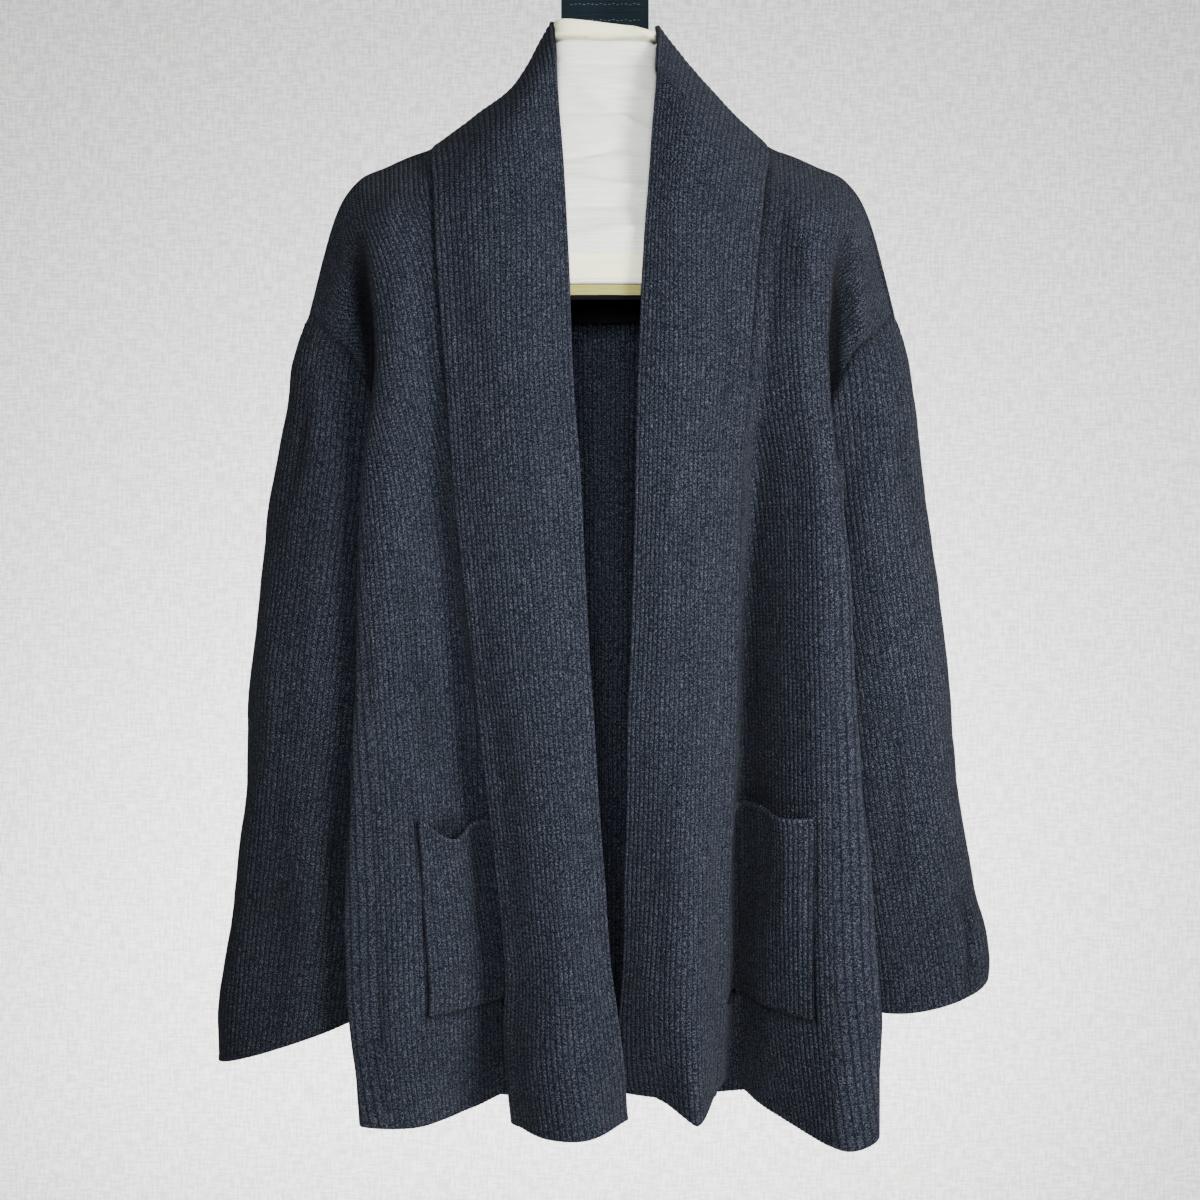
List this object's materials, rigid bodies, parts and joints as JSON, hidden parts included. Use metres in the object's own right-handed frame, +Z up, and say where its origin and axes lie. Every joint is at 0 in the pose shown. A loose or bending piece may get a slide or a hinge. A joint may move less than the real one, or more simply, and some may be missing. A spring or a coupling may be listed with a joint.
{
  "type": "shawl collar cardigan on a padded bust hanger with a hanging strap",
  "caption": "Open-front rib knit cardigan with a wide shawl collar band, dropped shoulders and patch pockets, hung on a cloth-covered bust hanger by a folded strap.",
  "frame": {"origin": "centre of the strap's eye, on the axis of the rod that the hanger's strap hangs on", "axes": "+Z up, front faces -Y, the wearer's left is +X and the rod runs along X"},
  "size_m": [0.6227, 0.1898, 0.9525],
  "materials": {
    "knit": "matt brushed rib knit, charcoal melange",
    "bust_cloth": "matt cream cotton",
    "trim_tape": "matt straw-coloured tape",
    "strap_webbing": "dark blue-black webbing with pale stitches"
  },
  "bodies": {
    "root": {"back": "knit", "front_right": "knit", "front_left": "knit", "sleeve_right": "knit", "sleeve_left": "knit", "collar_right": "knit", "collar_left": "knit", "pocket_right": "knit", "pocket_left": "knit", "bust_form": "bust_cloth", "form_trim": "trim_tape", "hang_strap": "strap_webbing"}
  },
  "joints": []
}
